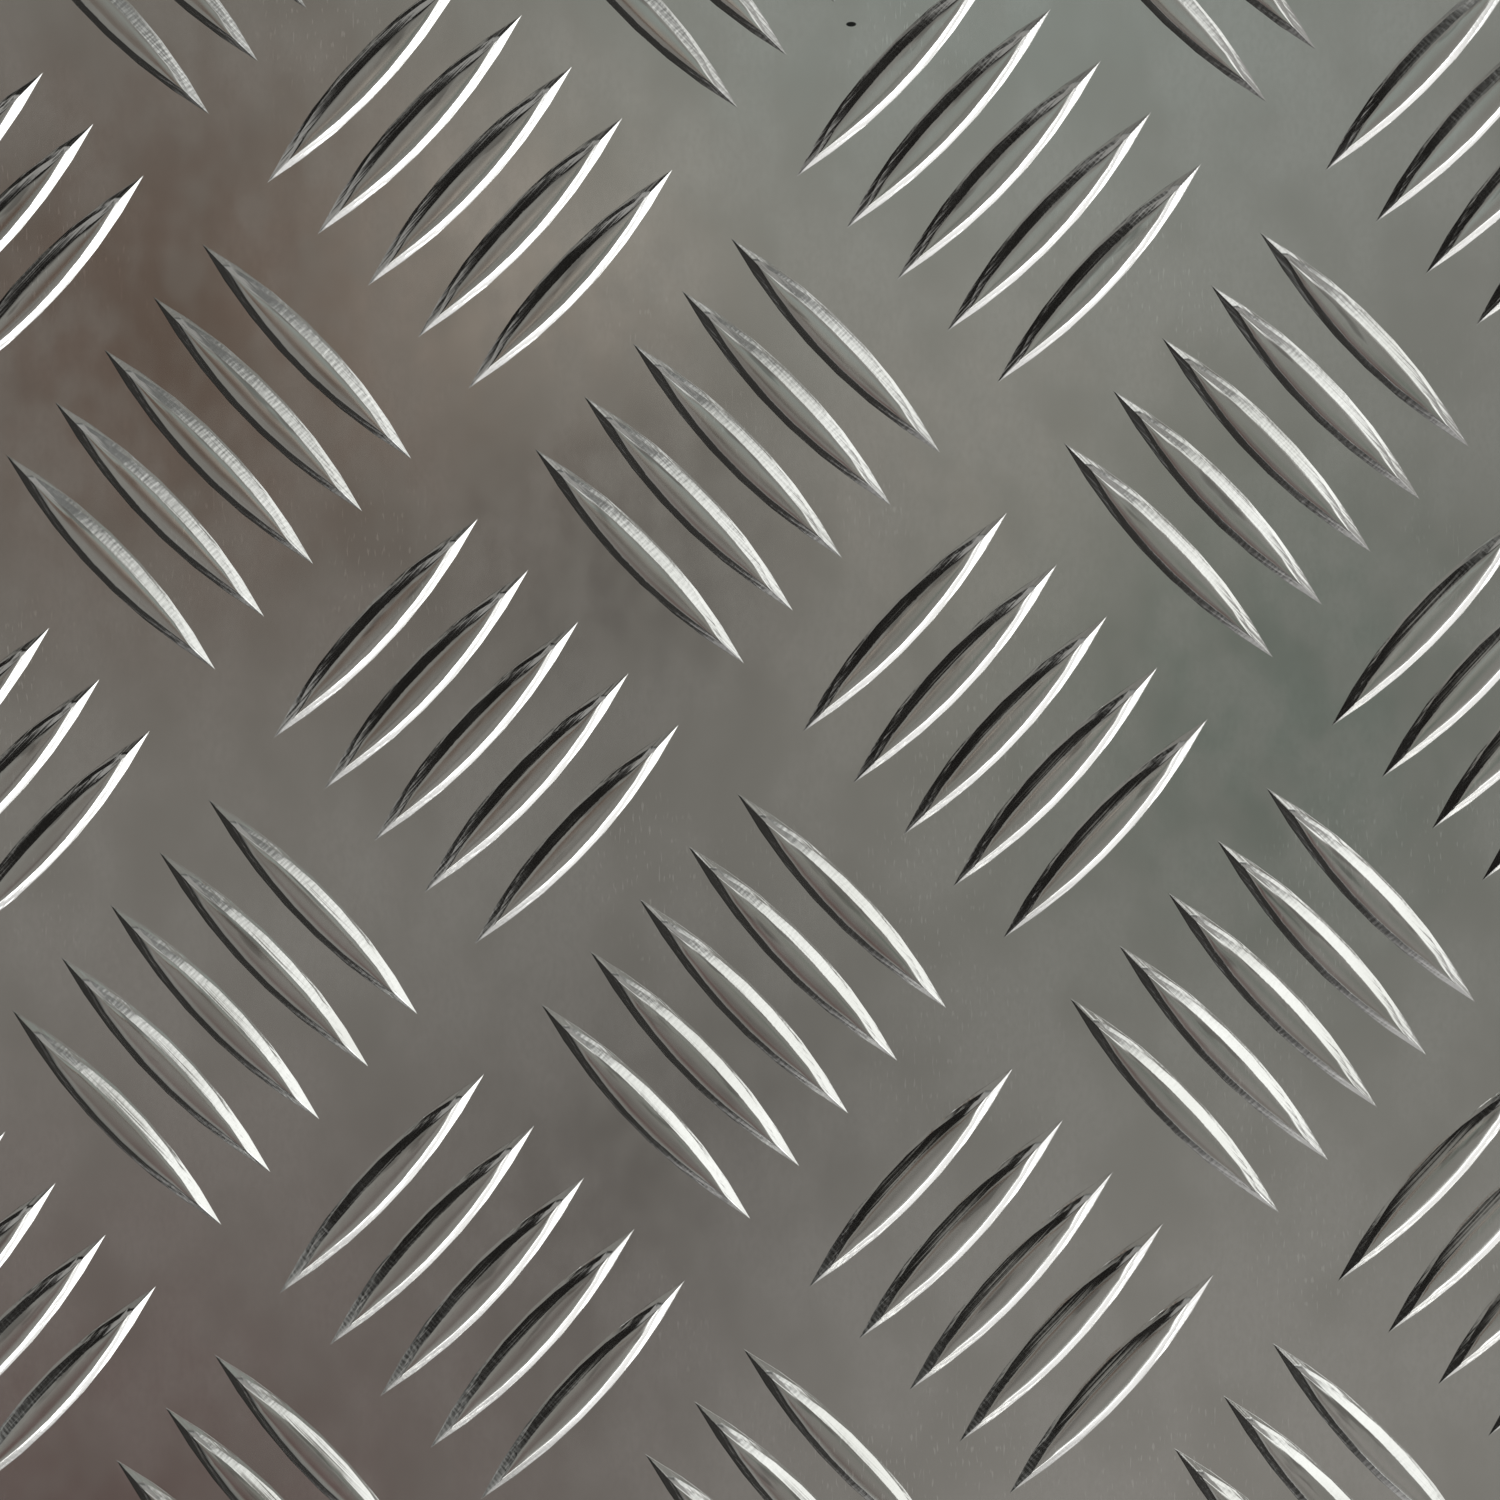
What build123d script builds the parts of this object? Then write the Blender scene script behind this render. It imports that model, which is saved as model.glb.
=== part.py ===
"""Aluminium tread plate: one rolled sheet with raised bars in crossed groups.

Millimetres, +Z up. The origin is the centre of the flat underside. X runs across
the rolling direction and Y runs along it.
"""

import os
from math import atan2, cos, degrees, radians, sin

from build123d import *

# The sheet, sheared from a larger one
sheet_width = 200.0
sheet_length = 300.0
base_thickness = 1.5

# The pattern repeats in a cell that holds one rising and one falling group of bars
cell_width = 50.0
cell_length = 52.5
bars_in_group = 5
bar_pitch = 6.8

# The sheet's centre line lies this far from the nearest column of groups
shear_offset = 12.5

# One bar: a pointed lens at its foot, with sloping flanks up to a flat crown
bar_length = 28.5
bar_width = 4.0
bar_height = 0.5

# The rolls leave the flank that faces +Y gentler than the one that faces -Y
gentle_flank_run = 1.4
steep_flank_run = 0.6

# Both sides of the lens are arcs of this radius, around centres beyond its other side
arc_radius = (bar_length**2 + bar_width**2) / (4 * bar_width)
arc_centre = arc_radius - bar_width / 2

# The bars lie along one diagonal of the cell and are stacked along the other
bar_angle = degrees(atan2(cell_length, cell_width))
bar_step_x = bar_pitch * cos(radians(bar_angle))
bar_step_y = bar_pitch * sin(radians(bar_angle))

# How far a bar reaches from its own centre, once it is turned
bar_reach_x = (bar_length * cos(radians(bar_angle)) + bar_width) / 2
bar_reach_y = (bar_length * sin(radians(bar_angle)) + bar_width) / 2


def bar_along_x():
    """One bar, as what two wide and shallow cones have in common.

    Each cone stands around the centre of one arc, so its flank has the same slope
    along the whole bar, and the two flanks meet in a ridge towards each tip.
    """
    upright = (Align.CENTER, Align.CENTER, Align.MIN)
    with BuildPart() as one_bar:
        with Locations((0, -arc_centre, base_thickness)):
            Cone(arc_radius, arc_radius - gentle_flank_run, bar_height, align=upright)
        with Locations((0, arc_centre, base_thickness)):
            Cone(
                arc_radius,
                arc_radius - steep_flank_run,
                bar_height,
                align=upright,
                mode=Mode.INTERSECT,
            )
    return one_bar.part


def bar_places(group_x, group_y, turn):
    """Places of every bar of one kind that reaches the sheet.

    A group has its centre at (group_x, group_y), and at every whole cell from there.
    Its bars are turned by this many degrees, and stacked across the way they point.
    """
    stack_side = -1 if turn > 0 else 1
    columns = int(sheet_width / cell_width / 2) + 2
    rows = int(sheet_length / cell_length / 2) + 2
    places = []
    for column in range(-columns, columns + 1):
        for row in range(-rows, rows + 1):
            for number in range(bars_in_group):
                step = number - (bars_in_group - 1) / 2
                x = group_x + column * cell_width + stack_side * step * bar_step_x
                y = group_y + row * cell_length + step * bar_step_y
                past_side = abs(x) > sheet_width / 2 + bar_reach_x
                past_end = abs(y) > sheet_length / 2 + bar_reach_y
                if not (past_side or past_end):
                    places.append(Location((x, y, 0), (0, 0, turn)))
    return places


# A falling group lies in the middle of each four rising ones
rising_x = -shear_offset
falling_x = rising_x + cell_width / 2
falling_y = cell_length / 2
rising_places = bar_places(rising_x, 0, bar_angle)
falling_places = bar_places(falling_x, falling_y, -bar_angle)

with BuildPart() as tread_plate:
    with BuildSketch():
        Rectangle(sheet_width, sheet_length)
    extrude(amount=base_thickness)
    with Locations(*rising_places, *falling_places):
        add(bar_along_x(), clean=False)

    # The shear cuts through the bars at the sheet's four edges
    with BuildSketch():
        Rectangle(sheet_width, sheet_length)
    extrude(amount=base_thickness + bar_height, mode=Mode.INTERSECT, clean=False)

os.makedirs("parts", exist_ok=True)
tread_plate.part.label = "tread_plate"
export_step(tread_plate.part, "parts/tread_plate.step")
print(f"{len(rising_places)} rising and {len(falling_places)} falling bars")
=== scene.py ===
"""Looks of a rolled aluminium tread plate that lies flat and is seen from straight above.

Metres, +Z up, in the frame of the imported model: the origin is the centre of the flat
underside, X runs across the rolling direction and Y along it.
"""

import logging
import math
from dataclasses import dataclass, field
from enum import Enum

import bmesh
import bpy
from bmesh.types import BMesh, BMFace, BMVert
from bpy.types import Material, Node, NodeTree, Object, World
from bpy.types import NodeSocket as Socket
from mathutils import Matrix, Vector

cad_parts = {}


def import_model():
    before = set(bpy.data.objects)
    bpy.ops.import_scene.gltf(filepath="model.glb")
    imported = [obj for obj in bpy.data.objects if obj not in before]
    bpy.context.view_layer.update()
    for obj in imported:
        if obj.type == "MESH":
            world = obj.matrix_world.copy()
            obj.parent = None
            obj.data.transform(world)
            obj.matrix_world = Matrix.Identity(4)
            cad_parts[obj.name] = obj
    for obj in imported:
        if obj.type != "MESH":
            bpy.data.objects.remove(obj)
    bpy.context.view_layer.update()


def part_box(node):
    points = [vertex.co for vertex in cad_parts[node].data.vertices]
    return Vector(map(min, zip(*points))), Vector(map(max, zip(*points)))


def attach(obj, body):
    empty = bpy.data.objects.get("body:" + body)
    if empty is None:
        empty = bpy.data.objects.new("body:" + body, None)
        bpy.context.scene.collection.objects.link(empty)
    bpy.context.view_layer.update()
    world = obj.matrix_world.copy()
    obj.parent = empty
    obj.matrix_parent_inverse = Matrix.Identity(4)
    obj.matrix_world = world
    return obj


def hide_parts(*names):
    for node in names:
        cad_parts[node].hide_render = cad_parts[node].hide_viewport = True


log = logging.getLogger("tread_plate_scene")

MM = 0.001
UP = Vector((0.0, 0.0, 1.0))

# Points nearer than this become one: on a bar's outline, and where two tiles meet
OUTLINE_WELD = 0.01 * MM
TILE_WELD = 0.02 * MM

# Points nearer than this to a cut lie on it
CUT_SNAP = 0.001 * MM

# Places of a Mix node's colours: both inputs and the output
MIX_FIRST, MIX_SECOND, MIX_RESULT = 6, 7, 2

Colour = tuple[float, float, float, float]
Span = tuple[float, float]
Fed = Socket | float | tuple[float, ...]


class GroupKind(Enum):
    """Which way the bars of one group point, seen from above."""

    RISING = 1
    FALLING = -1


@dataclass(frozen=True)
class BarStation:
    """One outline of a bar between its foot and its crown.

    Attributes:
        along: Share of the way from the foot's tips to the crown's.
        gentle: Share of the way from the foot's gentle side to the crown's.
        steep: Share of the way from the foot's steep side to the crown's.
        rise: Height of its middle, as a share of the bar's.
        crease: True where the surface breaks here, False where it rolls over.
    """

    along: float
    gentle: float
    steep: float
    rise: float
    crease: bool = False


@dataclass
class TreadBar:
    """One raised bar: a pointed lens with a wide gentle flank and a narrow steep one.

    Along X at the origin its gentle flank faces +Y and its lower end points to -X.

    Attributes:
        foot_length: From tip to tip where the flanks leave the flat.
        foot_gentle: From the line between the tips to the foot's gentle side.
        foot_steep: From the line between the tips to the foot's steep side.
        crown_length: From end to end of the flat crown.
        crown_gentle: From that line to the crown's edge on the gentle side.
        crown_steep: From that line to the crown's edge on the steep side.
        height: Of the crown above the flat.
        set_off: How far the rolls leave the crown towards the bar's lower end.
        ridge_power: How fast an outline climbs the ridge towards its tips.
        ridge_drift: How far the lower end's ridge lies towards the steep side.
        arc_steps: Straight steps along each side of the lens.
        stations: Outlines from the foot to the crown, the last a ring on the crown.
    """

    foot_length: float = 28.3 * MM
    foot_gentle: float = 2.0 * MM
    foot_steep: float = 1.85 * MM
    crown_length: float = 22.0 * MM
    crown_gentle: float = 0.75 * MM
    crown_steep: float = 1.25 * MM
    height: float = 0.5 * MM
    set_off: float = 0.42 * MM
    ridge_power: float = 3.2
    ridge_drift: float = 0.15 * MM
    arc_steps: int = 7
    stations: tuple[BarStation, ...] = (
        BarStation(0.0, 0.0, 0.0, 0.0, crease=True),
        BarStation(0.82, 0.17, 0.055, 0.08, crease=True),
        BarStation(0.97, 0.93, 0.96, 0.87),
        BarStation(1.02, 1.01, 1.08, 0.92),
        BarStation(1.20, 1.30, 2.1, 1.0),
    )

    def half_length(self, station: BarStation) -> float:
        """Half of the length of the lens at one station."""
        shorter = (self.foot_length - self.crown_length) * station.along
        return (self.foot_length - shorter) / 2

    def side(self, station: BarStation, gentle: bool) -> float:
        """How far one side of the lens reaches out at one station.

        Args:
            station: The outline that is asked for.
            gentle: True for the gentle side, False for the steep one.

        Returns:
            The distance from the line between the tips, in metres.
        """
        foot = self.foot_gentle if gentle else self.foot_steep
        crown = self.crown_gentle if gentle else self.crown_steep
        share = station.gentle if gentle else station.steep
        return foot + (crown - foot) * share

    def foot_arc(self, gentle: bool) -> Span:
        """The arc that one side of the foot follows.

        Args:
            gentle: True for the gentle side, False for the steep one.

        Returns:
            Its radius, and the Y of its centre, which lies beyond the other side.
        """
        half = self.foot_length / 2
        reach = self.foot_gentle if gentle else self.foot_steep
        radius = (half**2 + reach**2) / (2 * reach)
        return radius, (reach - radius) if gentle else (radius - reach)

    def outline_face(self, mesh: BMesh, floor: float) -> BMFace:
        """Make the foot's lens as one flat face, lying along X at the origin.

        Args:
            mesh: The mesh that takes it.
            floor: Height of the flat that the bar stands on.

        Returns:
            The new face, which points upwards.
        """
        half = self.foot_length / 2
        tip = mesh.verts.new((-half, 0.0, floor))
        for gentle in (True, False):
            radius, centre = self.foot_arc(gentle)
            sweep = 2 * math.asin(half / radius)
            bmesh.ops.spin(
                mesh,
                geom=[tip],
                cent=(0.0, centre, floor),
                axis=UP,
                angle=-sweep if gentle else sweep,
                steps=self.arc_steps,
            )
        bmesh.ops.remove_doubles(mesh, verts=mesh.verts[:], dist=OUTLINE_WELD)
        rim = [edge for edge in mesh.edges if not edge.link_faces]
        face = bmesh.ops.contextual_create(mesh, geom=rim)["faces"][0]
        if face.normal.z < 0:
            face.normal_flip()
        return face

    def raise_from(self, mesh: BMesh, face: BMFace, floor: float) -> BMFace:
        """Extrude the foot's outline through every station, up to the crown.

        Args:
            mesh: The mesh that holds the face.
            face: The foot's outline, along X at the origin.
            floor: Height of the flat that the bar stands on.

        Returns:
            The crown's face.
        """
        for before, after in zip(self.stations, self.stations[1:]):
            lower, upper = self._tips(face)
            for edge in face.edges:
                edge.smooth = not before.crease
            face = bmesh.ops.extrude_discrete_faces(mesh, faces=[face])["faces"][0]
            longways = self.half_length(after) / self.half_length(before)
            ridge_rise = min(after.along, 1.0)
            for vert in face.verts:
                gentle = vert.co.y > 0
                widthways = self.side(after, gentle) / self.side(before, gentle)
                reach = (vert.co.x + self.set_off * before.along) * longways
                ridge = abs(reach / self.half_length(after)) ** self.ridge_power
                climb = after.rise + (ridge_rise - after.rise) * ridge
                vert.co.x = reach - self.set_off * after.along
                vert.co.y *= widthways
                vert.co.z = floor + climb * self.height
            for edge in face.edges:
                edge.smooth = True
            ends = self._tips(face)
            ends[0].co.y = -self.ridge_drift * ridge_rise
            for tip, end in zip((lower, upper), ends):
                mesh.edges.get((tip, end)).smooth = False
        return face

    def _tips(self, face: BMFace) -> tuple[BMVert, BMVert]:
        """The vertices at the lower and the upper end of one outline."""
        lengthwise = sorted(face.verts, key=lambda vert: vert.co.x)
        return lengthwise[0], lengthwise[-1]


@dataclass
class TreadPattern:
    """The rolled pattern: groups of bars in rhombus tiles that fill the sheet.

    Attributes:
        cell_width: Across the rolling direction, from one rising group to the next.
        cell_length: Along the rolling direction, from one rising group to the next.
        bars_in_group: Bars side by side in one group.
        bar_pitch: From one bar of a group to the next.
        shear_offset: From the sheet's centre line to the nearest column of groups.
        bar: The bar that every group repeats.
    """

    cell_width: float = 50.0 * MM
    cell_length: float = 52.5 * MM
    bars_in_group: int = 5
    bar_pitch: float = 6.8 * MM
    shear_offset: float = 12.5 * MM
    bar: TreadBar = field(default_factory=TreadBar)

    @property
    def bar_angle(self) -> float:
        """Angle of a rising bar from X: the bars lie along the cell's diagonal."""
        return math.atan2(self.cell_length, self.cell_width)

    def group_centre(self, kind: GroupKind) -> Vector:
        """Find the first group of a kind, near the sheet's middle.

        Args:
            kind: The kind of group.

        Returns:
            Its centre.
        """
        if kind is GroupKind.RISING:
            return Vector((-self.shear_offset, 0.0, 0.0))
        return Vector((self.cell_width / 2 - self.shear_offset, self.cell_length / 2, 0.0))

    def rising_tile(self, floor: float) -> BMesh:
        """Make one rhombus of the sheet's top face with a rising group on it.

        Args:
            floor: Height of the flat between the bars.

        Returns:
            A new mesh with the group's centre over the origin.
        """
        tile = bmesh.new()
        along_bar = tile.loops.layers.uv.new("bar")
        tile.faces.layers.float.new("bar_number")
        for number in range(self.bars_in_group):
            single = self._single_bar(floor, number + 1.0)
            step = number - (self.bars_in_group - 1) / 2
            stack = Vector((-math.cos(self.bar_angle), math.sin(self.bar_angle), 0.0))
            place = Matrix.Translation(stack * step * self.bar_pitch)
            single.transform(place @ Matrix.Rotation(self.bar_angle, 4, "Z"))
            _append(tile, single)
        rims = [edge for edge in tile.edges if edge.is_boundary]
        half_x, half_y = self.cell_width / 2, self.cell_length / 2
        rhombus = bmesh.ops.create_circle(
            tile, cap_ends=False, radius=1.0, segments=4
        )["verts"]
        bmesh.ops.scale(tile, vec=(half_x, half_y, 1.0), verts=rhombus)
        bmesh.ops.translate(tile, vec=UP * floor, verts=rhombus)
        border = list({edge for vert in rhombus for edge in vert.link_edges})
        filled = bmesh.ops.triangle_fill(
            tile, use_beauty=True, use_dissolve=False, edges=rims + border, normal=UP
        )
        for part in filled["geom"]:
            if isinstance(part, BMFace):
                part.smooth = True
                for loop in part.loops:
                    loop[along_bar].uv = loop.vert.co.xy
        return tile

    def _single_bar(self, floor: float, number: float) -> BMesh:
        """Make one bar along X with its own lengthwise and crosswise UV map.

        Args:
            floor: Height of the flat that it stands on.
            number: Its place in its group, from 1.

        Returns:
            A new mesh.
        """
        single = bmesh.new()
        along_bar = single.loops.layers.uv.new("bar")
        bar_number = single.faces.layers.float.new("bar_number")
        foot = self.bar.outline_face(single, floor)
        self.bar.raise_from(single, foot, floor)
        for face in single.faces:
            face.smooth = True
            face[bar_number] = number
            for loop in face.loops:
                loop[along_bar].uv = loop.vert.co.xy
        return single


def _append(target: BMesh, source: BMesh) -> None:
    """Add all of one mesh to another and free it.

    Args:
        target: The mesh that grows.
        source: The mesh that is added and freed.
    """
    carrier = bpy.data.meshes.new("carrier")
    source.to_mesh(carrier)
    source.free()
    target.from_mesh(carrier)
    bpy.data.meshes.remove(carrier)


class SheetFace(Enum):
    """The kinds of surface on the sheet, by their place in its list of materials."""

    PATTERNED = 0
    SHEARED = 1
    PLAIN = 2

    @classmethod
    def of(cls, normal: Vector) -> "SheetFace":
        """Tell the kind of a surface by the way it faces."""
        kinds = {1: cls.PATTERNED, 0: cls.SHEARED, -1: cls.PLAIN}
        return kinds[round(normal.z)]


@dataclass
class TreadPlate:
    """The whole sheet, sheared square, as one closed mesh.

    Attributes:
        low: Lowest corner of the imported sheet.
        high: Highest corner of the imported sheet.
        pattern: The pattern on its top face.
    """

    low: Vector
    high: Vector
    pattern: TreadPattern = field(default_factory=TreadPattern)

    @property
    def floor(self) -> float:
        """Height of the flats between the bars."""
        return self.high.z - self.pattern.bar.height

    def top_face(self) -> BMesh:
        """Repeat the tiles of both kinds over the sheet and join their edges.

        Returns:
            The top face, still larger than the sheet.
        """
        pattern = self.pattern
        top = bmesh.new()
        columns = int(self.high.x / pattern.cell_width) + 1
        rows = int(self.high.y / pattern.cell_length) + 1
        for kind in GroupKind:
            tile = pattern.rising_tile(self.floor)
            if kind is GroupKind.FALLING:
                bmesh.ops.scale(tile, vec=(-1.0, 1.0, 1.0), verts=tile.verts[:])
                bmesh.ops.reverse_faces(tile, faces=tile.faces[:])
            carrier = bpy.data.meshes.new("carrier")
            tile.to_mesh(carrier)
            tile.free()
            for number in carrier.attributes["bar_number"].data:
                number.value *= kind.value
            first = pattern.group_centre(kind)
            for column in range(-columns, columns + 1):
                for row in range(-rows, rows + 1):
                    move = (column * pattern.cell_width, row * pattern.cell_length, 0.0)
                    centre = first + Vector(move)
                    place = Matrix.Translation(centre)
                    for number in carrier.attributes["bar_number"].data:
                        number.value += kind.value * pattern.bars_in_group
                    if self._reaches(centre):
                        carrier.transform(place)
                        top.from_mesh(carrier)
                        carrier.transform(place.inverted())
            bpy.data.meshes.remove(carrier)
        bmesh.ops.remove_doubles(top, verts=top.verts[:], dist=TILE_WELD)
        return top

    def _reaches(self, centre: Vector) -> bool:
        """Tell whether a tile overlaps the sheet.

        Args:
            centre: The tile's centre.

        Returns:
            True if it does.
        """
        over_x = abs(centre.x) < self.high.x + self.pattern.cell_width / 2
        over_y = abs(centre.y) < self.high.y + self.pattern.cell_length / 2
        return over_x and over_y

    def build(self) -> Object:
        """Cut the top face to size, close it downwards and make the object.

        Returns:
            The sheet's object at the origin.
        """
        sheet = self.top_face()
        for corner, side in ((self.low, -1), (self.high, 1)):
            for axis in (Vector((side, 0, 0)), Vector((0, side, 0))):
                everything = sheet.verts[:] + sheet.edges[:] + sheet.faces[:]
                bmesh.ops.bisect_plane(
                    sheet,
                    geom=everything,
                    dist=CUT_SNAP,
                    plane_co=corner,
                    plane_no=axis,
                    clear_outer=True,
                )
        rim = [edge for edge in sheet.edges if edge.is_boundary]
        for edge in rim:
            edge.smooth = False
        walls = bmesh.ops.extrude_edge_only(sheet, edges=rim)["geom"]
        lower = [part for part in walls if isinstance(part, BMVert)]
        bmesh.ops.scale(sheet, vec=(1.0, 1.0, 0.0), verts=lower)
        bmesh.ops.translate(sheet, vec=UP * self.low.z, verts=lower)
        underside = [edge for edge in sheet.edges if edge.is_boundary]
        bmesh.ops.contextual_create(sheet, geom=underside)
        bmesh.ops.recalc_face_normals(sheet, faces=sheet.faces[:])
        for face in sheet.faces:
            kind = SheetFace.of(face.normal)
            face.material_index = kind.value
            if kind is not SheetFace.PATTERNED:
                face.smooth = False
        data = bpy.data.meshes.new("rolled_sheet")
        sheet.to_mesh(data)
        sheet.free()
        plate = bpy.data.objects.new("rolled_sheet", data)
        bpy.context.scene.collection.objects.link(plate)
        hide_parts("tread_plate")
        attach(plate, "root")
        return plate


@dataclass(frozen=True)
class Grain:
    """A noise, how it turns into marks, and its depth as relief.

    Attributes:
        waves: Waves in a metre along each axis.
        detail: How many finer waves are added.
        start: Noise at which the marks start.
        full: Noise at which they are full.
        low: What they count before that.
        high: What they count past that.
        depth: Depth of the noise as relief.
    """

    waves: tuple[float, float, float]
    detail: float = 2.0
    start: float = 0.0
    full: float = 1.0
    low: float = 0.0
    high: float = 1.0
    depth: float = 0.0


class NodeBoard:
    """Adds shader nodes to one tree and wires them."""

    def __init__(self, tree: NodeTree) -> None:
        """Keep the tree that the nodes go to."""
        self.tree = tree

    def add(self, kind: str, *fed: Fed, **settings: object) -> Node:
        """Add one node.

        Args:
            kind: The node's type name.
            *fed: Sockets or plain values for its first inputs.
            **settings: Properties that are set on it.

        Returns:
            The new node.
        """
        node = self.tree.nodes.new(kind)
        for name, value in settings.items():
            setattr(node, name, value)
        for source, target in zip(fed, node.inputs):
            self.feed(source, target)
        return node

    def feed(self, source: Fed, target: Socket) -> None:
        """Link a socket to another, or write a plain value on it.

        Args:
            source: The socket or the value.
            target: The socket that takes it.
        """
        if isinstance(source, Socket):
            self.tree.links.new(source, target)
        else:
            target.default_value = source

    def number(self, operation: str, *values: Fed) -> Socket:
        """Work out a number from others, by a Math node's operation."""
        return self.add("ShaderNodeMath", *values, operation=operation).outputs[0]

    def split(self, place: Fed) -> tuple[Socket, Socket, Socket]:
        """Take a place apart into its X, its Y and its Z."""
        x, y, z = self.add("ShaderNodeSeparateXYZ", place).outputs
        return x, y, z

    def away(self, place: Fed, centre: Fed) -> Socket:
        """Measure how far a place lies from a centre."""
        node = self.add("ShaderNodeVectorMath", place, centre, operation="DISTANCE")
        return node.outputs["Value"]

    def step(
        self,
        value: Fed,
        start: float,
        end: float,
        low: float = 0.0,
        high: float = 1.0,
        ramp: str = "SMOOTHSTEP",
    ) -> Socket:
        """Turn a range of a number into another one.

        Args:
            value: The number that is read.
            start: Where the result is low.
            end: Where the result is high.
            low: The result at start and before it.
            high: The result at end and past it.
            ramp: The way between them, as a Map Range node calls it.

        Returns:
            The result's socket.
        """
        limits = (start, end, low, high)
        node = self.add("ShaderNodeMapRange", value, *limits, interpolation_type=ramp)
        return node.outputs["Result"]

    def noise(self, place: Fed, grain: Grain) -> Socket:
        """Read a grain's noise.

        Args:
            place: The coordinates.
            grain: The grain.

        Returns:
            A socket around a half.
        """
        waves = self.add("ShaderNodeVectorMath", place, grain.waves, operation="MULTIPLY")
        node = self.add("ShaderNodeTexNoise", waves.outputs[0])
        node.inputs["Scale"].default_value = 1.0
        node.inputs["Detail"].default_value = grain.detail
        return node.outputs["Fac"]

    def marks(self, noise: Fed, grain: Grain) -> Socket:
        """Turn a noise into the marks of a grain."""
        return self.step(noise, grain.start, grain.full, grain.low, grain.high)

    def tint(self, factor: Fed, first: Fed, second: Fed) -> Socket:
        """Blend two colours.

        Args:
            factor: 0 gives the first, 1 the second.
            first: Socket or colour.
            second: Socket or colour.

        Returns:
            The colour's socket.
        """
        node = self.add("ShaderNodeMix", factor, data_type="RGBA")
        self.feed(first, node.inputs[MIX_FIRST])
        self.feed(second, node.inputs[MIX_SECOND])
        return node.outputs[MIX_RESULT]

    def relief(self, *layers: tuple[Fed, Fed, float]) -> Socket:
        """Make one bump of several heights that swing around the surface.

        Args:
            *layers: Each a height around a half, how much of it counts, and what a
                height of 1 stands for in metres.

        Returns:
            The normal's socket.
        """
        total: Fed = 0.0
        for height, share, depth in layers:
            swing = self.number("SUBTRACT", height, 0.5)
            counted = self.number("MULTIPLY", swing, share)
            total = self.number("MULTIPLY_ADD", counted, depth, total)
        node = self.add("ShaderNodeBump")
        node.inputs["Distance"].default_value = 1.0
        self.feed(total, node.inputs["Height"])
        return node.outputs["Normal"]


class MaterialBoard(NodeBoard):
    """The nodes of one new material.

    Attributes:
        material: The material.
        shader: Its shader.
        place: Place on the object that wears it.
    """

    def __init__(self, name: str, metallic: float) -> None:
        """Make the material, plain so far.

        Args:
            name: The material's name.
            metallic: 1 for bare metal, 0 for paint.
        """
        self.material = bpy.data.materials.new(name)
        self.material.use_nodes = True
        super().__init__(self.material.node_tree)
        self.shader = self.tree.nodes["Principled BSDF"]
        self.shader.inputs["Metallic"].default_value = metallic
        self.place = self.add("ShaderNodeTexCoord").outputs["Object"]

    def finish(self, colour: Fed, roughness: Fed, normal: Fed) -> Material:
        """Give the material its looks.

        Args:
            colour: Its base colour.
            roughness: Its roughness.
            normal: Its normal.

        Returns:
            The finished material.
        """
        looks = {"Base Color": colour, "Roughness": roughness, "Normal": normal}
        for name, source in looks.items():
            self.feed(source, self.shader.inputs[name])
        return self.material


class RolledBoard(MaterialBoard):
    """The rolled face's nodes, with sockets that say where on its bar a place lies.

    Attributes:
        number_spread: How far apart the bars lie in their noises.
        foot_rise: Heights above the flats between which a bar starts.
        crown_rise: Share of the bar's height at which its crown starts.
        crown_edge: Height over which it starts.
        whole: Place along and across the bar, with its number as third coordinate.
        along: Place along the bar, positive towards its upper end.
        aside: Place across it, positive on its gentle side.
        eastward: Place along it, positive at the end that points to +X.
        depths: How far inside the foot's gentle arc, and inside its steep one.
        on_bar: 1 on the bars and 0 on the flats.
        crown: 1 on the crowns.
        flank: 1 on the flanks.
    """

    number_spread = 7.3
    foot_rise = (0.004 * MM, 0.04 * MM)
    crown_rise = 0.87
    crown_edge = 0.025 * MM

    def __init__(self, name: str, bar: TreadBar, floor: float) -> None:
        """Make the material and work the sockets out.

        Args:
            name: The material's name.
            bar: The bar whose foot and crown the sockets follow.
            floor: Height of the flats.
        """
        super().__init__(name, metallic=1.0)
        own_map = self.add("ShaderNodeUVMap", uv_map="bar").outputs["UV"]
        number = self.add("ShaderNodeAttribute", attribute_name="bar_number").outputs["Fac"]
        self.along, self.aside, _ = self.split(own_map)
        self.eastward = self.number("MULTIPLY", self.along, self.number("SIGN", number))
        spread = self.number("MULTIPLY", number, self.number_spread)
        whole = self.add("ShaderNodeCombineXYZ", self.along, self.aside, spread)
        self.whole = whole.outputs["Vector"]
        self.depths = []
        for gentle in (True, False):
            radius, centre = bar.foot_arc(gentle)
            ray = self.away(own_map, (0.0, centre, 0.0))
            self.depths.append(self.number("SUBTRACT", radius, ray))
        _, _, height = self.split(self.place)
        self.on_bar = self.step(height, *(floor + rise for rise in self.foot_rise))
        crown_start = floor + self.crown_rise * bar.height
        self.crown = self.step(height, crown_start, crown_start + self.crown_edge)
        below = self.number("SUBTRACT", 1.0, self.crown)
        self.flank = self.number("MULTIPLY", self.on_bar, below)


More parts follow.
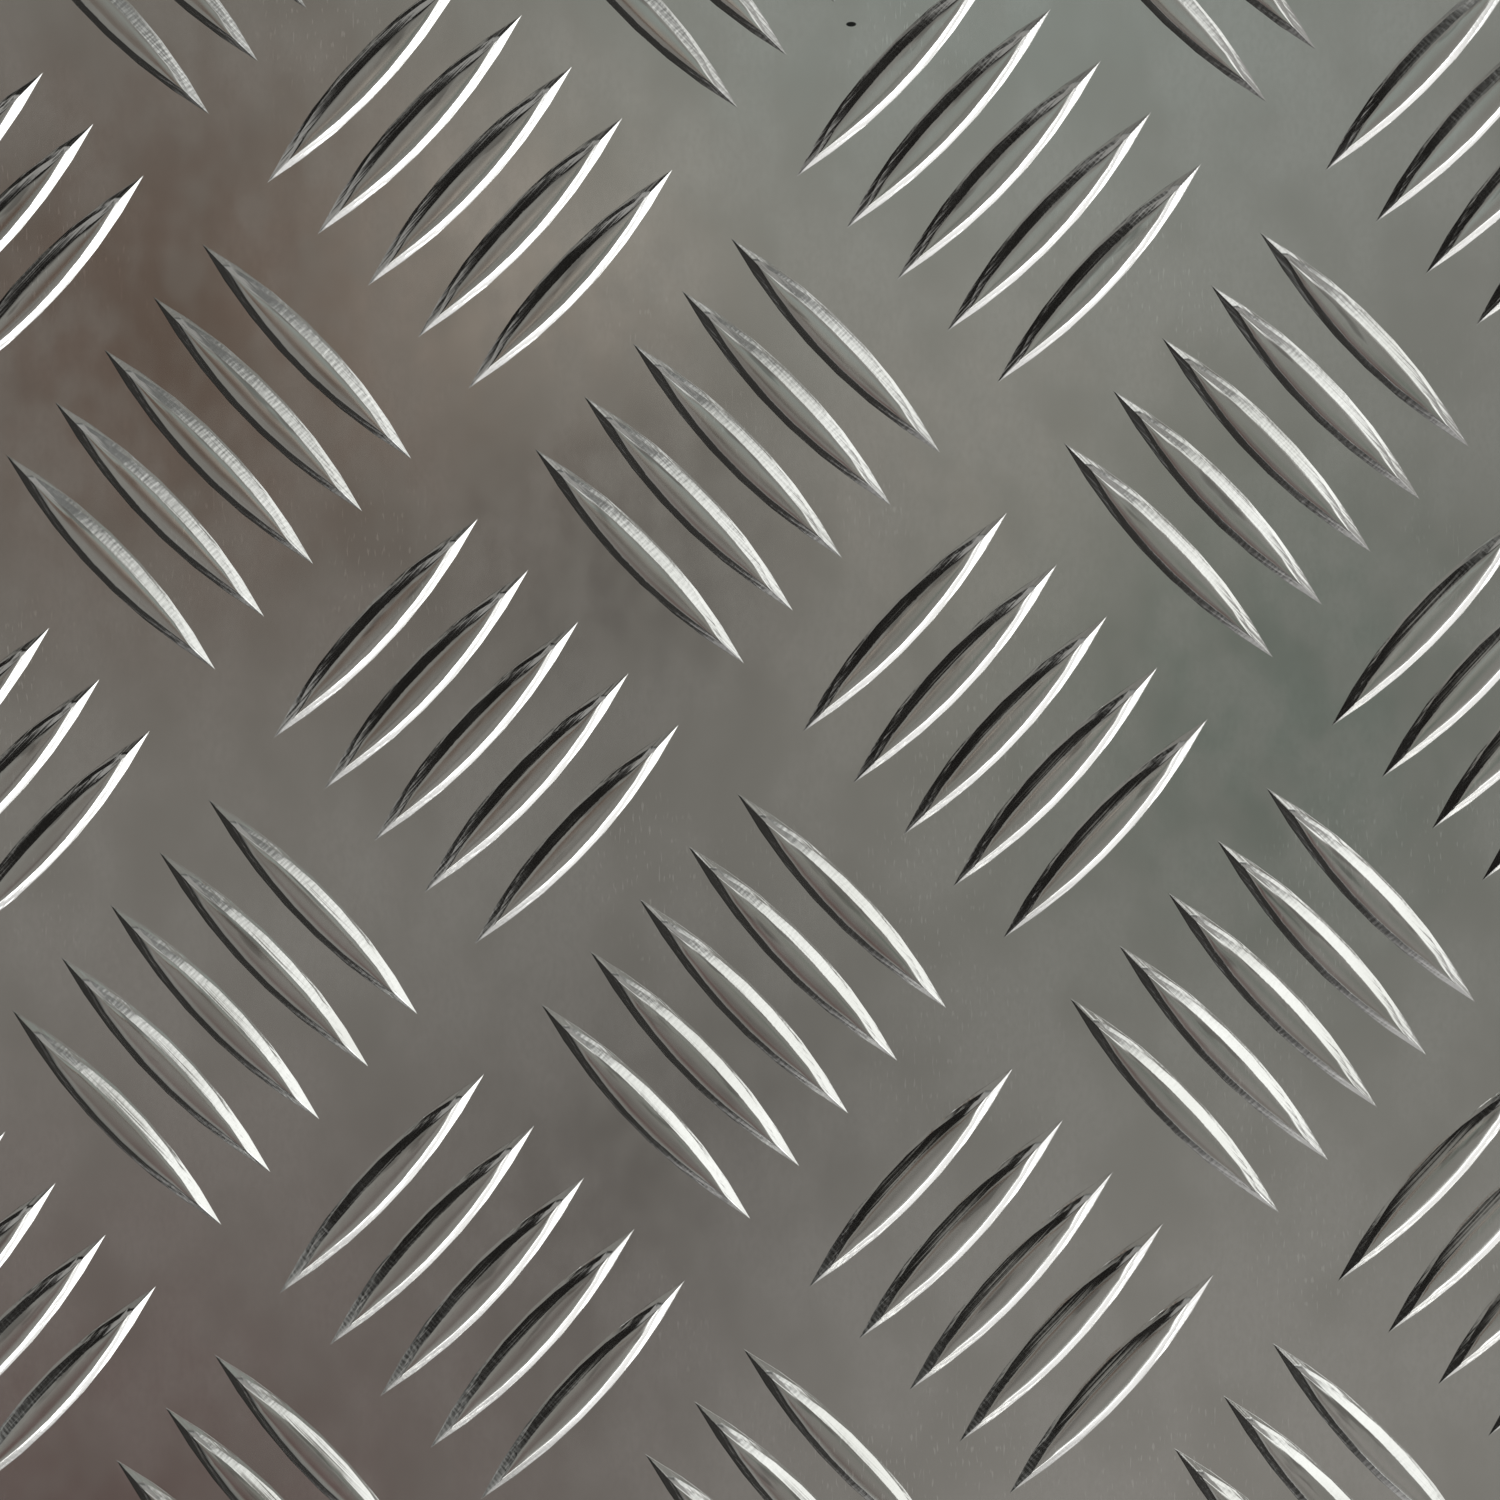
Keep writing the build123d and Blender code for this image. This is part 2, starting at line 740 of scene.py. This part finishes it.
@dataclass(frozen=True)
class SoftNose:
    """The flatter end of the gentle flank, as relief towards the bar's upper tip.

    Attributes:
        slope: How much less steeply the flank rises there.
        wedge_start: Place along the bar where a wedge of it starts by the foot.
        wedge_growth: How fast the wedge widens from there.
        wedge_fade: Width over which it fades by the ridge.
        joins: Places along the foot where the whole flank starts to join in, and has.
        edge: Width over which that ends at the ridge.
    """

    slope: float = 0.3
    wedge_start: float = 5.4 * MM
    wedge_growth: float = 0.07
    wedge_fade: float = 0.5 * MM
    joins: Span = (9.3 * MM, 10.7 * MM)
    edge: float = 0.02 * MM

    def height(self, board: RolledBoard) -> Socket:
        """Work out how far the flank sinks.

        Args:
            board: The rolled face's nodes.

        Returns:
            Height around a half, in millimetres.
        """
        depth = board.number("MAXIMUM", board.depths[0], 0.0)
        unmoved = -self.wedge_growth * self.wedge_start
        reach = board.number("MULTIPLY_ADD", board.along, self.wedge_growth, unmoved)
        wedge = board.number("MINIMUM", depth, board.number("MAXIMUM", reach, 0.0))
        faded = board.step(board.aside, 0.0, self.wedge_fade)
        wedge = board.number("MULTIPLY", wedge, faded)
        slant = board.number("SUBTRACT", board.along, depth)
        nose = board.number("MULTIPLY", depth, board.step(slant, *self.joins))
        nose = board.number("MULTIPLY", nose, board.step(board.aside, 0.0, self.edge))
        sunk = board.number("MAXIMUM", wedge, nose)
        return board.number("MULTIPLY_ADD", sunk, -self.slope / MM, 0.5)


@dataclass(frozen=True)
class PaintedFootShade:
    """Painted shade: a thin dark line in the crease around each foot, and a darkened end
    that points to -X.

    Attributes:
        colour: Linear colour of the painted shade.
        strength: How much of that colour it has.
        line: Depths inside the foot at which the line has ended, and starts to.
        fade: Places towards +X where it has faded out, and starts to.
        dark_end: Places towards +X where the painted shade at the end starts, and is full.
    """

    # Painted shade: the line in the crease at each foot, and the end towards -X
    colour: Colour = (0.26, 0.26, 0.25, 1.0)
    strength: float = 0.8
    line: Span = (0.10 * MM, 0.02 * MM)
    fade: Span = (12.9 * MM, 11.7 * MM)
    dark_end: Span = (-12.9 * MM, -13.8 * MM)

    def mask(self, board: RolledBoard) -> Socket:
        """Find the painted shade.

        Args:
            board: The rolled face's nodes.

        Returns:
            A socket that is 0 beside it.
        """
        depth = board.number("MINIMUM", *board.depths)
        line = board.step(depth, *self.line, 0.0, self.strength)
        line = board.number("MULTIPLY", line, board.step(board.eastward, *self.fade))
        end = board.step(board.eastward, *self.dark_end, 0.0, self.strength)
        return board.number("MULTIPLY", board.on_bar, board.number("MAXIMUM", line, end))


@dataclass(frozen=True)
class CrownSmearsAndShade:
    """Dark smears along the crowns, and painted shade that gathers them by the gentle edge.

    Attributes:
        colour: Linear colour of the smears and the painted shade.
        grain: Their noise.
        lean: How much the noise gains in a metre towards the gentle edge, where the painted
            shade lies.
        middle: Place along the bar where most of them are.
        thinning: How much the noise loses in a metre from there.
    """

    colour: Colour = (0.22, 0.21, 0.20, 1.0)
    grain: Grain = Grain((160.0, 1100.0, 1.0), start=0.52, full=0.68, high=0.6)
    lean: float = 160.0
    middle: float = 5.0 * MM
    thinning: float = 16.0

    def mask(self, board: RolledBoard) -> Socket:
        """Find the smears and the painted shade.

        Args:
            board: The rolled face's nodes.

        Returns:
            A socket that is 0 beside them.
        """
        noise = board.noise(board.whole, self.grain)
        noise = board.number("MULTIPLY_ADD", board.aside, self.lean, noise)
        away = board.number("ABSOLUTE", board.number("SUBTRACT", board.along, self.middle))
        noise = board.number("MULTIPLY_ADD", away, -self.thinning, noise)
        return board.number("MULTIPLY", board.crown, board.marks(noise, self.grain))


@dataclass(frozen=True)
class DirtSpeck:
    """The one dark speck on the flats.

    Attributes:
        colour: Linear colour of the speck.
        middle: X and Y of its middle.
        half_size: Half of its width and of its height.
        rim: Squares of the distance, in half sizes, where it has ended, and starts to.
    """

    colour: Colour = (0.03, 0.03, 0.03, 1.0)
    middle: Span = (23.7 * MM, 66.45 * MM)
    half_size: Span = (0.50 * MM, 0.24 * MM)
    rim: Span = (1.2, 0.6)

    def mask(self, board: RolledBoard) -> Socket:
        """Find the speck.

        Args:
            board: The rolled face's nodes.

        Returns:
            A socket that is 0 beside it.
        """
        squared: Fed = 0.0
        places = board.split(board.place)
        for place, middle, half in zip(places, self.middle, self.half_size):
            off = board.number("DIVIDE", board.number("SUBTRACT", place, middle), half)
            squared = board.number("MULTIPLY_ADD", off, off, squared)
        return board.step(squared, *self.rim)


@dataclass(frozen=True)
class MillAluminium:
    """Bare aluminium as it leaves the mill, without marks of its own.

    Attributes:
        grey: Linear colour of the clean metal.
        dull: Linear colour where the film on it is thicker.
        fleck: Linear colour where it is freshly rubbed.
    """

    grey: Colour = (0.635, 0.63, 0.61, 1.0)
    dull: Colour = (0.555, 0.55, 0.525, 1.0)
    fleck: Colour = (0.80, 0.80, 0.78, 1.0)


@dataclass(frozen=True)
class PatternedFace(MillAluminium):
    """The rolled face: satin flats and crowns, hatched and drawn flanks, few marks, and
    painted shade by the feet and crowns.

    Attributes:
        floor: Height of the flats.
        bar: The bar whose foot and crown the finish follows.
        burnished: Linear colour of the steep flanks, which the rolls drag.
        burnish_edge: Width over which that colour starts beside the ridge.
        film: The film that dulls the metal in clouds.
        grain: The metal's grain.
        satin: The metal's roughness.
        streaks: Short rubbed streaks along the rolling direction.
        patches: Loose patches that they lie in.
        hatching: Fine lines across the flanks.
        drawn: Long lines along the flanks.
        nose: The flatter end of the gentle flanks.
        smears_and_shade: The smears and the painted shade on the crowns.
        foot_shade: The painted shade along the feet and at their ends that point to -X.
        speck: The speck on the flats.
    """

    floor: float = 1.5 * MM
    bar: TreadBar = field(default_factory=TreadBar)
    burnished: Colour = (0.88, 0.875, 0.865, 1.0)
    burnish_edge: float = 0.06 * MM
    film: Grain = Grain((110.0, 90.0, 110.0), start=0.35, full=0.70, depth=0.020 * MM)
    grain: Grain = Grain((2400.0, 1400.0, 2400.0), start=0.30, full=0.75, high=0.35)
    satin: Grain = Grain((300.0, 200.0, 300.0), 1.0, 0.30, 0.70, 0.14, 0.17)
    streaks: Grain = Grain((4600.0, 900.0, 4600.0), 0.0, 0.68, 0.80)
    patches: Grain = Grain((42.0, 36.0, 42.0), 1.0, 0.52, 0.70, high=0.6)
    hatching: Grain = Grain((3300.0, 1150.0, 1.0), 0.0, depth=0.010 * MM)
    drawn: Grain = Grain((110.0, 4600.0, 1.0), 1.0, depth=0.019 * MM)
    nose: SoftNose = SoftNose()
    # Smears, with painted shade by the crowns' gentle edge
    smears_and_shade: CrownSmearsAndShade = CrownSmearsAndShade()
    # Painted shade along the feet and at their -X ends
    foot_shade: PaintedFootShade = PaintedFootShade()
    speck: DirtSpeck = DirtSpeck()

    def make(self) -> Material:
        """Make the material.

        Returns:
            The finished material.
        """
        board = RolledBoard("mill_aluminium_patterned", self.bar, self.floor)
        film = board.noise(board.place, self.film)
        grain = board.noise(board.place, self.grain)
        colour = board.tint(board.marks(film, self.film), self.grey, self.dull)
        colour = board.tint(board.marks(grain, self.grain), colour, self.dull)
        streaks = board.marks(board.noise(board.place, self.streaks), self.streaks)
        patches = board.marks(board.noise(board.place, self.patches), self.patches)
        flat = board.number("SUBTRACT", 1.0, board.flank)
        flecks = board.number("MULTIPLY", board.number("MULTIPLY", streaks, patches), flat)
        colour = board.tint(flecks, colour, self.fleck)
        steep = board.step(board.aside, 0.0, -self.burnish_edge)
        steep = board.number("MULTIPLY", steep, board.flank)
        colour = board.tint(steep, colour, self.burnished)
        # Smears and painted shade on the crowns, painted shade at the feet and their -X
        # ends, and a speck
        for mark in (self.smears_and_shade, self.foot_shade, self.speck):
            colour = board.tint(mark.mask(board), colour, mark.colour)
        satin = board.noise(board.place, self.satin)
        normal = board.relief(
            (film, 1.0, self.film.depth),
            (board.noise(board.whole, self.hatching), board.flank, self.hatching.depth),
            (board.noise(board.whole, self.drawn), board.flank, self.drawn.depth),
            (self.nose.height(board), board.on_bar, 1.0 * MM),
        )
        return board.finish(colour, board.marks(satin, self.satin), normal)


@dataclass(frozen=True)
class ShearedEdge(MillAluminium):
    """A cut side: burnished where the blade went in, broken off below.

    Attributes:
        fracture: Linear colour of the broken zone.
        blade_depth: Height above the underside at which the metal broke.
        wander_height: How far that height wanders along the edge.
        blur: Half of the height over which the broken zone starts.
        roughness: Of the burnished zone and of the broken one.
        wander: The noise that it wanders by.
        dragged: Upright lines in the burnished zone.
        chipped: Grains of the broken zone.
    """

    fracture: Colour = (0.42, 0.42, 0.41, 1.0)
    blade_depth: float = 0.95 * MM
    wander_height: float = 0.5 * MM
    blur: float = 0.03 * MM
    roughness: Span = (0.22, 0.50)
    wander: Grain = Grain((500.0, 500.0, 1.0), 3.0)
    dragged: Grain = Grain((2600.0, 2600.0, 90.0), 2.0, 0.35, 0.70, depth=0.012 * MM)
    chipped: Grain = Grain((2200.0, 2200.0, 1500.0), 3.0, 0.35, 0.65, depth=0.12 * MM)

    def make(self) -> Material:
        """Make the material.

        Returns:
            The finished material.
        """
        board = MaterialBoard("mill_aluminium_sheared", metallic=1.0)
        _, _, height = board.split(board.place)
        wander = board.noise(board.place, self.wander)
        lowest = self.blade_depth - self.wander_height / 2
        limit = board.number("MULTIPLY_ADD", wander, self.wander_height, lowest)
        below = board.number("SUBTRACT", limit, height)
        broken = board.step(below, -self.blur, self.blur)
        dragged = board.noise(board.place, self.dragged)
        chipped = board.noise(board.place, self.chipped)
        colour = board.tint(board.marks(dragged, self.dragged), self.grey, self.fleck)
        rubble = board.tint(board.marks(chipped, self.chipped), self.fracture, self.dull)
        rough = board.step(broken, 0.0, 1.0, *self.roughness)
        smooth = board.number("SUBTRACT", 1.0, broken)
        normal = board.relief(
            (chipped, broken, self.chipped.depth), (dragged, smooth, self.dragged.depth)
        )
        return board.finish(board.tint(broken, colour, rubble), rough, normal)


@dataclass(frozen=True)
class PlainFace(MillAluminium):
    """The underside: plain, with long fine lines along the rolling direction.

    Attributes:
        film: The film that dulls the metal in clouds.
        lines: The lines that are duller than the metal.
        bright_lines: Those of the same lines that are brighter.
        bands: Wide bands of other roughness along the lines.
    """

    film: Grain = Grain((60.0, 45.0, 60.0), 3.0, 0.30, 0.70, depth=0.010 * MM)
    lines: Grain = Grain((2100.0, 9.0, 1.0), 2.0, 0.40, 0.75, high=0.6, depth=0.004 * MM)
    bright_lines: Grain = Grain((2100.0, 9.0, 1.0), 2.0, 0.36, 0.28, high=0.7)
    bands: Grain = Grain((130.0, 3.0, 1.0), 2.0, 0.30, 0.70, 0.19, 0.30)

    def make(self) -> Material:
        """Make the material.

        Returns:
            The finished material.
        """
        board = MaterialBoard("mill_aluminium_plain", metallic=1.0)
        film = board.noise(board.place, self.film)
        lines = board.noise(board.place, self.lines)
        bands = board.noise(board.place, self.bands)
        colour = board.tint(board.marks(film, self.film), self.grey, self.dull)
        colour = board.tint(board.marks(lines, self.lines), colour, self.dull)
        colour = board.tint(board.marks(lines, self.bright_lines), colour, self.fleck)
        normal = board.relief((lines, 1.0, self.lines.depth), (film, 1.0, self.film.depth))
        return board.finish(colour, board.marks(bands, self.bands), normal)


@dataclass(frozen=True)
class StudioFloor:
    """A plain pale floor under the sheet, rolled on by hand.

    Attributes:
        reach: Half of its side.
        colour: Linear colour of its matt surface.
        thin: Linear colour where the paint on it is thinner.
        roughness: Of the thick paint and of the thin.
        cloud: Where the paint is thin.
        stipple: The roller's fine marks.
    """

    reach: float = 30.0
    colour: Colour = (0.78, 0.78, 0.77, 1.0)
    thin: Colour = (0.74, 0.74, 0.73, 1.0)
    roughness: Span = (0.85, 0.95)
    cloud: Grain = Grain((9.0, 9.0, 9.0), 3.0, 0.30, 0.70)
    stipple: Grain = Grain((900.0, 900.0, 900.0), 1.0, depth=0.05 * MM)

    def build(self) -> Object:
        """Returns:
            The floor's object.
        """
        plane = bmesh.new()
        bmesh.ops.create_grid(plane, x_segments=1, y_segments=1, size=self.reach)
        data = bpy.data.meshes.new("studio_floor")
        plane.to_mesh(data)
        plane.free()
        board = MaterialBoard("pale_floor", metallic=0.0)
        cloud = board.noise(board.place, self.cloud)
        stipple = board.noise(board.place, self.stipple)
        thinness = board.marks(cloud, self.cloud)
        rough = board.step(cloud, self.cloud.start, self.cloud.full, *self.roughness)
        normal = board.relief((stipple, 1.0, self.stipple.depth))
        colour = board.tint(thinness, self.colour, self.thin)
        data.materials.append(board.finish(colour, rough, normal))
        floor = bpy.data.objects.new("studio_floor", data)
        bpy.context.scene.collection.objects.link(floor)
        return floor


@dataclass(frozen=True)
class SoftBox:
    """One rectangular studio lamp that points at the sheet's middle.

    Attributes:
        name: The lamp's name.
        azimuth: Degrees from +X towards +Y.
        elevation: Degrees above the floor.
        distance: From the sheet's middle.
        width: Of the lit face, level.
        height: Of the lit face, across its width.
        radiance: How bright its face is, where 1 is white.
    """

    name: str = "side_light"
    azimuth: float = -45.0
    elevation: float = 42.0
    distance: float = 2.0
    width: float = 1.6
    height: float = 1.0
    radiance: float = 1.5

    def build(self) -> Object:
        """Make the lamp.

        Returns:
            The lamp's object.
        """
        lamp = bpy.data.lights.new(self.name, "AREA")
        lamp.shape = "RECTANGLE"
        lamp.size = self.width
        lamp.size_y = self.height
        lamp.energy = self.radiance * math.pi * self.width * self.height
        box = bpy.data.objects.new(self.name, lamp)
        around, above = math.radians(self.azimuth), math.radians(self.elevation)
        level = math.cos(above)
        towards = Vector(
            (math.cos(around) * level, math.sin(around) * level, math.sin(above))
        )
        box.location = towards * self.distance
        box.rotation_euler = towards.to_track_quat("Z", "Y").to_euler()
        bpy.context.scene.collection.objects.link(box)
        return box


@dataclass(frozen=True)
class SoftPanel:
    """A soft patch of another tone on the room's ceiling or walls.

    Attributes:
        across: Direction of its middle towards +X, 0 straight up.
        ahead: Direction of its middle towards +Y, 0 straight up.
        reach: How far it reaches from there.
        light: Radiance in its middle, as a linear colour.
        core: Share of its reach within which it is even.
    """

    across: float
    ahead: float
    reach: float
    light: Colour
    core: float = 0.0

    def cover(self, board: NodeBoard, direction: Fed, under: Fed) -> Socket:
        """Lay the patch over what is behind it.

        Args:
            board: The world's nodes.
            direction: The direction looked in.
            under: Radiance behind the patch, a socket or a colour.

        Returns:
            The radiance's socket.
        """
        upward = math.sqrt(1.0 - self.across**2 - self.ahead**2)
        gap = board.away(direction, (self.across, self.ahead, upward))
        inside = board.step(gap, self.reach, self.reach * self.core)
        return board.tint(inside, under, self.light)


@dataclass(frozen=True)
class StudioRoom:
    """The room around the lamp: a ceiling in soft tones over plain walls.

    Attributes:
        ceiling: Radiance of the ceiling, as a linear colour.
        panels: Soft patches on the ceiling.
        cornice: Radiance of their upper half, each after how near to the windows.
        cornice_tint: Linear colour of that light.
        window_azimuth: Degrees from +X towards +Y in which the windows lie.
        window_lift: How much higher directions count as nearer to the windows.
        cornice_middle: Height of direction that counts neither way.
        doorway: Soft dark patches on the walls' upper half.
        wall: Radiance of the walls' lower half, as a linear colour.
        shade: Soft dark patch on both halves.
        windows: Soft bright patch on the walls' lower half.
        heights: Height of direction where the lower half ends, the upper one starts and
            ends, and the ceiling starts, from 0 level to 1 straight up.
    """

    ceiling: Colour = (0.318, 0.312, 0.292, 1.0)
    panels: tuple[SoftPanel, ...] = (
        SoftPanel(0.06, 0.21, 0.19, (0.40, 0.455, 0.43, 1.0)),
        SoftPanel(-0.13, 0.10, 0.13, (0.10, 0.035, 0.01, 1.0)),
        SoftPanel(-0.048, 0.107, 0.062, (0.84, 0.74, 0.64, 1.0)),
        SoftPanel(-0.026, 0.056, 0.066, (0.01, 0.0, 0.0, 1.0), core=0.2),
        SoftPanel(0.06, 0.06, 0.10, (0.45, 0.42, 0.38, 1.0)),
        SoftPanel(0.12, 0.01, 0.09, (0.10, 0.16, 0.13, 1.0)),
        SoftPanel(-0.018, -0.108, 0.095, (0.08, 0.07, 0.065, 1.0)),
        SoftPanel(0.01, -0.135, 0.05, (0.44, 0.425, 0.41, 1.0)),
        SoftPanel(-0.16, -0.21, 0.21, (0.14, 0.080, 0.075, 1.0)),
        SoftPanel(0.10, -0.19, 0.12, (0.38, 0.36, 0.34, 1.0)),
    )
    cornice: tuple[Span, ...] = (
        (-0.40, 0.42),
        (-0.22, 0.17),
        (0.07, 0.25),
        (0.15, 0.70),
        (0.25, 1.32),
        (0.38, 1.65),
        (0.50, 1.60),
        (0.63, 0.95),
    )
    cornice_tint: Colour = (0.98, 1.0, 0.985, 1.0)
    window_azimuth: float = -28.0
    window_lift: float = 0.8
    cornice_middle: float = 0.64
    doorway: tuple[SoftPanel, ...] = (
        SoftPanel(-0.54, 0.53, 0.47, (0.10, 0.10, 0.096, 1.0), core=0.5),
        SoftPanel(-0.525, 0.50, 0.36, (0.012, 0.011, 0.010, 1.0), core=0.6),
    )
    wall: Colour = (0.45, 0.445, 0.435, 1.0)
    shade: SoftPanel = SoftPanel(-0.766, -0.498, 0.60, (0.028, 0.027, 0.025, 1.0), core=0.5)
    windows: SoftPanel = SoftPanel(0.72, -0.58, 0.58, (0.97, 0.965, 0.95, 1.0), core=0.25)
    heights: tuple[float, float, float, float] = (0.42, 0.55, 0.80, 0.90)

    def build(self) -> World:
        """Make the world and give it to the scene.

        Returns:
            The world.
        """
        world = bpy.data.worlds.new("studio_room")
        world.use_nodes = True
        board = NodeBoard(world.node_tree)
        direction = board.add("ShaderNodeTexCoord").outputs["Generated"]
        _, _, lift = board.split(direction)
        zones = []
        for light, patches in (
            (self.wall, (self.shade, self.windows)),
            (self._cornice_light(board, direction), (*self.doorway, self.shade)),
            (self.ceiling, self.panels),
        ):
            for patch in patches:
                light = patch.cover(board, direction, light)
            zones.append(light)
        lower_end, upper_start, upper_end, ceiling_start = self.heights
        light = board.tint(board.step(lift, lower_end, upper_start), *zones[:2])
        light = board.tint(board.step(lift, upper_end, ceiling_start), light, zones[2])
        board.feed(light, world.node_tree.nodes["Background"].inputs["Color"])
        bpy.context.scene.world = world
        return world

    def _cornice_light(self, board: NodeBoard, direction: Fed) -> Socket:
        """Light the walls' upper half by how far a direction points to the windows.

        Args:
            board: The world's nodes.
            direction: The direction looked in.

        Returns:
            The radiance's socket.
        """
        around = math.radians(self.window_azimuth)
        windows = (math.cos(around), math.sin(around), self.window_lift)
        nearness = board.add(
            "ShaderNodeVectorMath", direction, windows, operation="DOT_PRODUCT"
        ).outputs["Value"]
        level = self.window_lift * self.cornice_middle
        side = board.number("SUBTRACT", nearness, level)
        light: Fed = self.cornice[0][1]
        for (start, low), (end, high) in zip(self.cornice, self.cornice[1:]):
            rise = board.step(side, start, end, 0.0, high - low, ramp="LINEAR")
            light = board.number("ADD", light, rise)
        tint = self.cornice_tint[:3]
        tinted = board.add("ShaderNodeVectorMath", tint, operation="SCALE")
        board.feed(light, tinted.inputs["Scale"])
        return tinted.outputs[0]


@dataclass(frozen=True)
class OverheadCamera:
    """The camera straight above the sheet, framed as the photograph is.

    Attributes:
        view_side: Side of the square that the photograph covers on the flats.
        above_flats: Height of the lens over the flats.
        from_group: From a falling group's centre to the middle of the view.
        roll: Degrees that the pattern is turned by in the picture, anticlockwise.
        sensor: Side of the sensor, in millimetres.
        nearest: Distance from which it sees.
    """

    view_side: float = 141.8 * MM
    above_flats: float = 400.0 * MM
    from_group: Span = (0.87 * MM, -28.3 * MM)
    roll: float = 0.64
    sensor: float = 36.0
    nearest: float = 10.0 * MM

    def build(self, plate: TreadPlate) -> Object:
        """Make the camera and make it the scene's.

        Args:
            plate: The sheet that the camera looks down on.

        Returns:
            The camera's object.
        """
        data = bpy.data.cameras.new("overhead_camera")
        data.sensor_width = self.sensor
        data.lens = self.sensor * self.above_flats / self.view_side
        data.clip_start = self.nearest
        camera = bpy.data.objects.new("overhead_camera", data)
        bpy.context.scene.collection.objects.link(camera)
        group = plate.pattern.group_centre(GroupKind.FALLING)
        aim = group + Vector((*self.from_group, 0.0))
        camera.location = aim + UP * (plate.floor + self.above_flats)
        camera.rotation_euler = (0.0, 0.0, -math.radians(self.roll))
        bpy.context.scene.camera = camera
        return camera


def main() -> None:
    """Build the camera, the sheet, the floor, the room and the lamp."""
    logging.basicConfig(level=logging.INFO, format="%(name)s: %(message)s")
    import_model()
    low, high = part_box("tread_plate")
    plate = TreadPlate(low=Vector(low), high=Vector(high))
    OverheadCamera().build(plate)
    sheet = plate.build()
    finishes = {
        SheetFace.PATTERNED: PatternedFace(floor=plate.floor, bar=plate.pattern.bar),
        SheetFace.SHEARED: ShearedEdge(),
        SheetFace.PLAIN: PlainFace(),
    }
    for kind in SheetFace:
        sheet.data.materials.append(finishes[kind].make())
    log.info("%s: %d faces", sheet.name, len(sheet.data.polygons))
    StudioFloor().build()
    StudioRoom().build()
    lamp = SoftBox().build()
    log.info("%s: %.1f W", lamp.name, lamp.data.energy)
    bpy.context.scene.view_settings.view_transform = "Standard"


if __name__ == "__main__":
    main()
